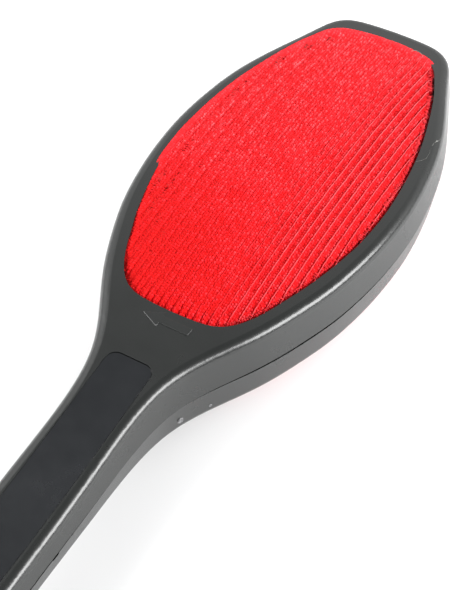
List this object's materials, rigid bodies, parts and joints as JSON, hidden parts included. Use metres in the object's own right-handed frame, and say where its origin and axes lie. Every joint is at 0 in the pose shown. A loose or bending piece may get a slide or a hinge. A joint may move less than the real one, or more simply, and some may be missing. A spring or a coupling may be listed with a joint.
{
  "type": "clothes brush",
  "caption": "Flat paddle clothes brush with a crowned ribbed fabric pad on each face and a slim drafted grip with a hanging hole.",
  "frame": {"origin": "centre of the brush's overall box, on the parting plane between the two half shells", "axes": "+Y from the grip end to the head end, +Z out of the upper pad, +X across the brush to the right when the upper pad is seen with the grip at the bottom"},
  "size_m": [0.084, 0.3071, 0.0372],
  "materials": {
    "upper_shell": "fine matt moulded black plastic",
    "lower_shell": "fine matt moulded black plastic",
    "upper_pad_fabric": "red ribbed pile fabric, ribs along the brush",
    "lower_pad_fabric": "red ribbed pile fabric, ribs along the brush",
    "upper_pad_foam": "thin soft foam underlay",
    "lower_pad_foam": "thin soft foam underlay",
    "upper_pad_plate": "unfinished moulded carrier",
    "lower_pad_plate": "unfinished moulded carrier",
    "upper_grip_inlay": "smooth satin black panel",
    "lower_grip_inlay": "smooth satin black panel",
    "upper_inlay_adhesive": "thin double-sided adhesive film",
    "lower_inlay_adhesive": "thin double-sided adhesive film",
    "shell_screws": "bright zinc"
  },
  "bodies": {
    "root": {"upper_shell": "upper_shell", "lower_shell": "lower_shell", "upper_pad_fabric": "upper_pad_fabric", "lower_pad_fabric": "lower_pad_fabric", "upper_pad_foam": "upper_pad_foam", "lower_pad_foam": "lower_pad_foam", "upper_pad_plate": "upper_pad_plate", "lower_pad_plate": "lower_pad_plate", "upper_grip_inlay": "upper_grip_inlay", "lower_grip_inlay": "lower_grip_inlay", "upper_inlay_adhesive": "upper_inlay_adhesive", "lower_inlay_adhesive": "lower_inlay_adhesive", "shell_screws": "shell_screws"}
  },
  "joints": []
}
